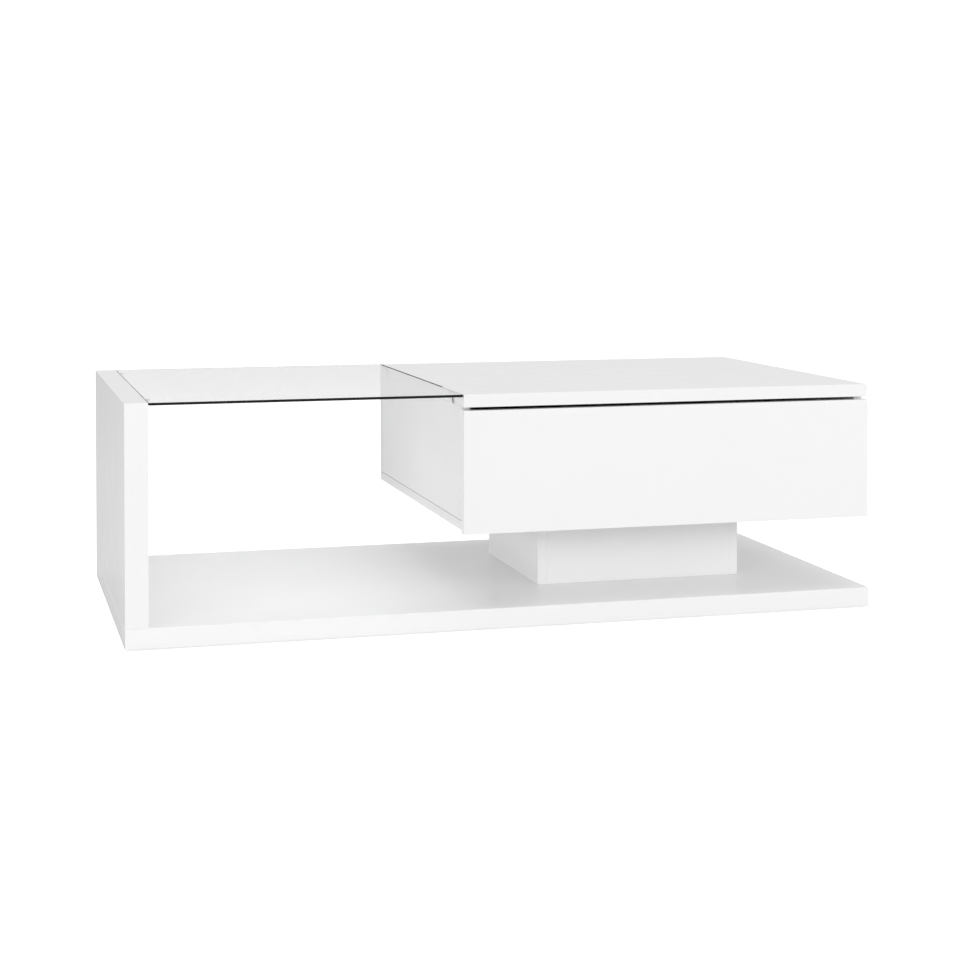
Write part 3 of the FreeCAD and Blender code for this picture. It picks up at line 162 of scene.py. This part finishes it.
def gloss_lacquer(name, low, high):
    """White high-gloss lacquer: faint clouding, orange peel, fine dust, thin arrises and painted shade along
    the joints.
    """
    tree = Tree(f"{name}_look")
    clouds = tree.noise(3.2, 3.0, 0.55)
    patches = tree.noise(17.0, 4.0, 0.6)
    peel = tree.noise(520.0, 2.0, 0.5)
    dust = tree.fit(tree.cells(210.0), 0.0, 0.06, 1.0, 0.0)
    edge = edge_closeness(tree, low, high, 1.2 * MM)
    thin = tree.math("MULTIPLY", edge, tree.fit(patches, 0.3, 0.7, 0.3, 1.0))
    white = WHITENESS.get(name, BOARD_WHITE)
    darker, lighter = grey(white - 0.005, (1.0, 1.0, 0.998)), grey(white + 0.005)
    ground = tree.blend(tree.fit(clouds, 0.3, 0.7), darker, lighter)
    specked = tree.blend(tree.math("MULTIPLY", dust, 0.03), ground, grey(0.6, (1.0, 0.98, 0.95)))
    colour = tree.blend(tree.math("MULTIPLY", thin, 0.12), specked, grey(0.8, (1.0, 0.995, 0.985)))
    # Painted shade: a near-black line along each joint, standing for the shade in the groove between the
    # boards.
    for axis, place in JOINTS.get(name, []):
        off = tree.math("ABSOLUTE", tree.math("SUBTRACT", tree.axis(tree.coordinates, axis), place))
        colour = tree.blend(tree.fit(off, 0.3 * MM, 0.9 * MM, 0.75, 0.0), colour, grey(0.16))
    smear = tree.fit(patches, 0.35, 0.7, 0.0, 0.015)
    rough = tree.math("ADD", tree.math("ADD", smear, 0.15), tree.math("MULTIPLY", thin, 0.1))
    shader = tree.node(
        "ShaderNodeBsdfPrincipled",
        {
            "Base Color": colour,
            "Roughness": rough,
            "IOR": 1.46,
            "Specular IOR Level": 0.4,
            "Normal": tree.bump(peel, 0.01, 0.03 * MM),
        },
    )
    return tree.finish(shader.outputs[0])


def satin_melamine(name, low, high):
    """White satin melamine of the drawer box: pearled texture, greyish band glue line at the arrises."""
    tree = Tree(f"{name}_look")
    pearl = tree.noise(900.0, 3.0, 0.6)
    pits = tree.cells(650.0)
    clouds = tree.noise(6.0, 3.0, 0.5)
    edge = edge_closeness(tree, low, high, 1.4 * MM)
    darker, lighter = grey(0.74, (1.0, 0.995, 0.98)), grey(0.77, (1.0, 0.995, 0.985))
    ground = tree.blend(tree.fit(clouds, 0.3, 0.7), darker, lighter)
    colour = tree.blend(tree.math("MULTIPLY", edge, 0.3), ground, grey(0.6, (1.0, 0.97, 0.92)))
    rough = tree.fit(pearl, 0.3, 0.7, 0.42, 0.56)
    skin = tree.bump(pits, 0.22, 0.08 * MM, tree.bump(pearl, 0.18, 0.06 * MM))
    shader = tree.node(
        "ShaderNodeBsdfPrincipled",
        {"Base Color": colour, "Roughness": rough, "Specular IOR Level": 0.4, "Normal": skin},
    )
    return tree.finish(shader.outputs[0])


def faced_hardboard(name):
    """Thin hardboard: white printed face above, brown fibres with a screen pattern below and at the edges."""
    tree = Tree(name)
    upward = tree.axis(tree.normal, "Z")
    face = tree.fit(upward, 0.4, 0.6)
    fibres = tree.noise(240.0, 6.0, 0.7, tree.scaled(tree.coordinates, (1.0, 0.35, 1.0)))
    screen = tree.math(
        "MULTIPLY",
        tree.math("SINE", tree.math("MULTIPLY", tree.axis(tree.coordinates, "X"), 3400.0)),
        tree.math("SINE", tree.math("MULTIPLY", tree.axis(tree.coordinates, "Y"), 3400.0)),
    )
    brown = tree.blend(tree.fit(fibres, 0.3, 0.7), (0.17, 0.09, 0.045, 1.0), (0.32, 0.19, 0.1, 1.0))
    darker, lighter = grey(0.70, (1.0, 0.995, 0.98)), grey(0.74, (1.0, 0.995, 0.98))
    white = tree.blend(tree.fit(tree.noise(8.0, 3.0), 0.3, 0.7), darker, lighter)
    colour = tree.blend(face, brown, white)
    rough = tree.math("ADD", tree.fit(fibres, 0.2, 0.8, 0.1, 0.3), tree.fit(face, 0.0, 1.0, 0.5, 0.3))
    rises = tree.blend(face, screen, tree.fit(fibres, 0.0, 1.0, 0.4, 0.6))
    shader = tree.node(
        "ShaderNodeBsdfPrincipled",
        {"Base Color": colour, "Roughness": rough, "Normal": tree.bump(rises, 0.3, 0.15 * MM)},
    )
    return tree.finish(shader.outputs[0])


def clear_glass(name):
    """Clear tempered glass, faintly smeared, with its ground edges painted near-black as painted shade."""
    tree = Tree(name)
    # Painted shade: faces across the plate's thickness get a near-black shader, standing for how dark a glass
    # edge looks.
    edge = tree.fit(tree.facing("Z"), 0.3, 0.5, 1.0, 0.0)
    smears = tree.noise(9.0, 4.0, 0.6, tree.scaled(tree.coordinates, (1.0, 0.4, 1.0)))
    grind = tree.noise(1500.0, 2.0, 0.5, tree.scaled(tree.coordinates, (0.2, 0.2, 1.0)))
    tint = tree.blend(tree.fit(smears, 0.3, 0.7), (0.950, 0.957, 0.954, 1.0), (0.958, 0.964, 0.962, 1.0))
    clear = tree.node(
        "ShaderNodeBsdfPrincipled",
        {
            "Base Color": tint,
            "Roughness": tree.fit(smears, 0.5, 0.8, 0.0, 0.02),
            "IOR": 1.5,
            "Transmission Weight": 1.0,
            "Normal": tree.bump(smears, 0.02, 0.2 * MM),
        },
    )
    # Near-black edge colour, painted shade with a ground-glass grain on top.
    darker, lighter = (0.004, 0.005, 0.005, 1.0), (0.012, 0.015, 0.014, 1.0)
    ground = tree.node(
        "ShaderNodeBsdfPrincipled",
        {
            "Base Color": tree.blend(tree.fit(grind, 0.3, 0.7), darker, lighter),
            "Roughness": tree.fit(grind, 0.3, 0.7, 0.3, 0.5),
            "Specular IOR Level": 0.2,
            "Normal": tree.bump(grind, 0.25, 0.03 * MM),
        },
    )
    body = tree.node("ShaderNodeMixShader", {0: edge, 1: clear.outputs[0], 2: ground.outputs[0]})
    light = tree.node("ShaderNodeLightPath").outputs["Is Shadow Ray"]
    passing = tree.node("ShaderNodeBsdfTransparent", {"Color": (0.93, 0.945, 0.94, 1.0)})
    through = tree.math("MULTIPLY", light, tree.math("SUBTRACT", 1.0, edge))
    shader = tree.node("ShaderNodeMixShader", {0: through, 1: body.outputs[0], 2: passing.outputs[0]})
    return tree.finish(shader.outputs[0])


def plated_metal(name, level, tint, rough, stretch=(1.0, 1.0, 1.0), grain=1200.0, lines=0.12):
    """Plated metal: fine strokes, drawn out where stretch says so, patchy plating and scratches."""
    tree = Tree(name)
    along = tree.scaled(tree.coordinates, stretch)
    strokes = tree.noise(grain, 4.0, 0.6, along)
    patches = tree.noise(60.0, 4.0, 0.65)
    spangle = tree.cells(160.0, output="Color")
    scratches = tree.fit(tree.noise(grain * 0.4, 1.0, 0.5, along), 0.66, 0.72)
    bright, dull = grey(level * 1.06, tint), grey(level * 0.86, tint)
    ground = tree.blend(tree.fit(patches, 0.3, 0.7), dull, bright)
    flecked = tree.blend(0.06, ground, spangle, "OVERLAY")
    colour = tree.blend(tree.math("MULTIPLY", scratches, 0.25), flecked, grey(level * 0.7, tint))
    brushed = tree.fit(strokes, 0.25, 0.75, rough - 0.06, rough + 0.08)
    roughness = tree.math("ADD", brushed, tree.fit(patches, 0.4, 0.7, 0.0, 0.08))
    skin = tree.bump(strokes, lines, 0.03 * MM)
    shader = tree.node(
        "ShaderNodeBsdfPrincipled",
        {"Base Color": colour, "Metallic": 1.0, "Roughness": roughness, "Normal": skin},
    )
    return tree.finish(shader.outputs[0])


def beech(name):
    """Raw beech of the dowels: mottled grain with short dark flecks."""
    tree = Tree(name)
    grain = tree.noise(180.0, 5.0, 0.6)
    flecks = tree.fit(tree.cells(900.0, tree.scaled(tree.coordinates, (1.0, 1.0, 0.3))), 0.0, 0.2, 1.0, 0.0)
    wood = tree.blend(tree.fit(grain, 0.3, 0.7), (0.50, 0.32, 0.17, 1.0), (0.62, 0.43, 0.25, 1.0))
    colour = tree.blend(tree.math("MULTIPLY", flecks, 0.5), wood, (0.33, 0.18, 0.09, 1.0))
    shader = tree.node(
        "ShaderNodeBsdfPrincipled",
        {
            "Base Color": colour,
            "Roughness": tree.fit(grain, 0.3, 0.7, 0.6, 0.8),
            "Normal": tree.bump(grain, 0.3, 0.1 * MM),
        },
    )
    return tree.finish(shader.outputs[0])


def moulded_plastic(name, colour, rough, grain, shine=0.5):
    """Moulded plastic or rubber: spark-eroded grain with darker, lighter and smoother patches."""
    tree = Tree(name)
    texture = tree.noise(grain, 3.0, 0.6)
    patches = tree.noise(45.0, 3.0, 0.6)
    darker = tuple(channel * 0.8 for channel in colour) + (1.0,)
    lighter = tuple(channel * 1.25 for channel in colour) + (1.0,)
    grainy = tree.fit(texture, 0.3, 0.7, rough, rough + 0.12)
    shader = tree.node(
        "ShaderNodeBsdfPrincipled",
        {
            "Base Color": tree.blend(tree.fit(patches, 0.3, 0.7), darker, lighter),
            "Roughness": tree.math("ADD", grainy, tree.fit(patches, 0.4, 0.8, 0.0, -0.1)),
            "Specular IOR Level": shine,
            "Normal": tree.bump(texture, 0.35, 0.06 * MM),
        },
    )
    return tree.finish(shader.outputs[0])


def clear_rubber(name):
    """Clear soft cushions: milky, with a little dust on the tacky surface."""
    tree = Tree(name)
    milk = tree.noise(380.0, 3.0, 0.5)
    dust = tree.fit(tree.cells(2600.0), 0.0, 0.12, 1.0, 0.0)
    clear = tree.blend(tree.fit(milk, 0.3, 0.7), grey(0.74, (0.99, 1.0, 1.0)), grey(0.82, (0.99, 1.0, 1.0)))
    shader = tree.node(
        "ShaderNodeBsdfPrincipled",
        {
            "Base Color": tree.blend(tree.math("MULTIPLY", dust, 0.3), clear, grey(0.5)),
            "Roughness": tree.fit(milk, 0.3, 0.7, 0.16, 0.32),
            "IOR": 1.41,
            "Transmission Weight": 0.45,
            "Normal": tree.bump(milk, 0.15, 0.05 * MM),
        },
    )
    return tree.finish(shader.outputs[0])


ZINC = (0.97, 0.99, 1.0)
NICKEL = (1.0, 0.985, 0.95)
ALONG_RUNNER = (1.0, 0.02, 1.0)

shared = {
    "drawer_bottom": faced_hardboard("drawer_bottom_look"),
    "glass": clear_glass("glass_look"),
    "runner_steel": plated_metal("runner_steel_look", 0.62, ZINC, 0.3, ALONG_RUNNER),
    "cage_steel": plated_metal("cage_steel_look", 0.5, NICKEL, 0.36, ALONG_RUNNER, 1800.0),
    "ball_steel": plated_metal("ball_steel_look", 0.8, ZINC, 0.1, grain=3000.0, lines=0.03),
    "screw_steel": plated_metal("screw_steel_look", 0.58, ZINC, 0.32, grain=2600.0),
    "cam_metal": plated_metal("cam_metal_look", 0.55, NICKEL, 0.38, grain=1500.0, lines=0.3),
    "support_metal": plated_metal("support_metal_look", 0.68, NICKEL, 0.3, (1.0, 1.0, 0.05), 2200.0),
    "dowel_wood": beech("dowel_wood_look"),
    "glide_plastic": moulded_plastic("glide_plastic_look", (0.05, 0.05, 0.052), 0.5, 1500.0),
    "lever_plastic": moulded_plastic("lever_plastic_look", (0.018, 0.018, 0.019), 0.42, 2200.0),
    "seal_rubber": moulded_plastic("seal_rubber_look", (0.012, 0.012, 0.012), 0.75, 1800.0, 0.1),
    "clear_cushion": clear_rubber("clear_cushion_look"),
}
own = {"gloss_board": gloss_lacquer, "drawer_board": satin_melamine}

for name, item in nodes.items():
    slot = slot_of[name]
    look = own[slot](name, *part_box(name)) if slot in own else shared[slot]
    for material_slot in item.material_slots:
        material_slot.material = look


# ---- floor, light and camera

TOP_OF_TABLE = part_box("top_board")[1].z
FLOOR_REACH = 40.0

# The camera and the glass see the floor and the surround brighter than these light the table.
FLOOR_GLOW_SEEN, FLOOR_GLOW_LIGHTING = 0.74, 0.05
SURROUND_SEEN, SURROUND_LIGHTING = 1.1, 0.72

mesh = bpy.data.meshes.new("floor")
corners = [(x * FLOOR_REACH, y * FLOOR_REACH, 0) for x, y in ((-1, -1), (1, -1), (1, 1), (-1, 1))]
mesh.from_pydata(corners, [], [(0, 1, 2, 3)])
floor = bpy.data.objects.new("floor", mesh)
bpy.context.scene.collection.objects.link(floor)
floor_tree = Tree("floor_look")
floor_clouds = floor_tree.fit(floor_tree.noise(0.8, 3.0), 0.3, 0.7)
floor_paths = floor_tree.node("ShaderNodeLightPath")
direct_rays = [floor_paths.outputs[kind] for kind in ("Is Camera Ray", "Is Transmission Ray")]
seen_directly = floor_tree.math("MAXIMUM", *direct_rays)
floor_glow = floor_tree.fit(seen_directly, 0.0, 1.0, FLOOR_GLOW_LIGHTING, FLOOR_GLOW_SEEN, smooth=False)
floor_shader = floor_tree.node(
    "ShaderNodeBsdfPrincipled",
    {
        "Base Color": floor_tree.blend(floor_clouds, grey(0.61), grey(0.63)),
        "Roughness": 0.9,
        "Specular IOR Level": 0.0,
        "Emission Color": grey(1.0),
        "Emission Strength": floor_glow,
    },
)
mesh.materials.append(floor_tree.finish(floor_shader.outputs[0]))

world = bpy.data.worlds.new("studio")
bpy.context.scene.world = world
world.use_nodes = True
sky = world.node_tree
sky.nodes.clear()
paths = sky.nodes.new("ShaderNodeLightPath")
directly = sky.nodes.new("ShaderNodeMath")
directly.operation = "MAXIMUM"
chosen = sky.nodes.new("ShaderNodeMixShader")
sky_output = sky.nodes.new("ShaderNodeOutputWorld")
sky.links.new(paths.outputs["Is Camera Ray"], directly.inputs[0])
sky.links.new(paths.outputs["Is Transmission Ray"], directly.inputs[1])
sky.links.new(directly.outputs[0], chosen.inputs[0])
for place, strength in ((1, SURROUND_LIGHTING), (2, SURROUND_SEEN)):
    background = sky.nodes.new("ShaderNodeBackground")
    background.inputs["Color"].default_value = grey(1.0)
    background.inputs["Strength"].default_value = strength
    sky.links.new(background.outputs[0], chosen.inputs[place])
sky.links.new(chosen.outputs[0], sky_output.inputs["Surface"])


def softbox(name, place, target, width, height, power):
    """A large soft lamp that looks at a target. The camera and glossy rays don't see it; the glass does."""
    data = bpy.data.lights.new(name, "AREA")
    data.shape = "RECTANGLE"
    data.size, data.size_y = width, height
    data.energy = power
    lamp = bpy.data.objects.new(name, data)
    bpy.context.scene.collection.objects.link(lamp)
    lamp.location = place
    lamp.rotation_euler = (Vector(target) - Vector(place)).to_track_quat("-Z", "Y").to_euler()
    lamp.visible_camera = False
    lamp.visible_glossy = False


middle = (0.0, 0.0, TOP_OF_TABLE / 2)
softbox("top_light", (0.0, 0.0, 3.6), middle, 4.0, 3.0, 30.0)
softbox("left_light", (-4.2, -4.4, 1.1), middle, 3.2, 1.5, 108.0)
softbox("right_light", (3.2, -3.4, 1.5), middle, 2.4, 1.2, 45.0)

# The camera, turned by pitch, roll and yaw in degrees. It tilts down a little rather than shifting all the
# way, so that the other views keep the whole table in the frame.
CAMERA_PLACE = (-0.83171, -3.11641, 0.64908)
CAMERA_TURN = (-1.4956, -0.0081, -15.3347)
CAMERA_LENS = 71.287
CAMERA_SHIFT = -0.2292
camera_data = bpy.data.cameras.new("camera")
camera_data.sensor_width = 36.0
camera_data.lens = CAMERA_LENS
camera_data.shift_y = CAMERA_SHIFT
camera_data.clip_start, camera_data.clip_end = 0.05, 200.0
camera = bpy.data.objects.new("camera", camera_data)
bpy.context.scene.collection.objects.link(camera)
camera.location = CAMERA_PLACE
pitch, roll, yaw = (math.radians(angle) for angle in CAMERA_TURN)
camera.rotation_euler = Euler((math.pi / 2 + pitch, roll, yaw))
bpy.context.scene.camera = camera

bpy.context.scene.view_settings.view_transform = "Standard"
bpy.context.scene.view_settings.look = "None"
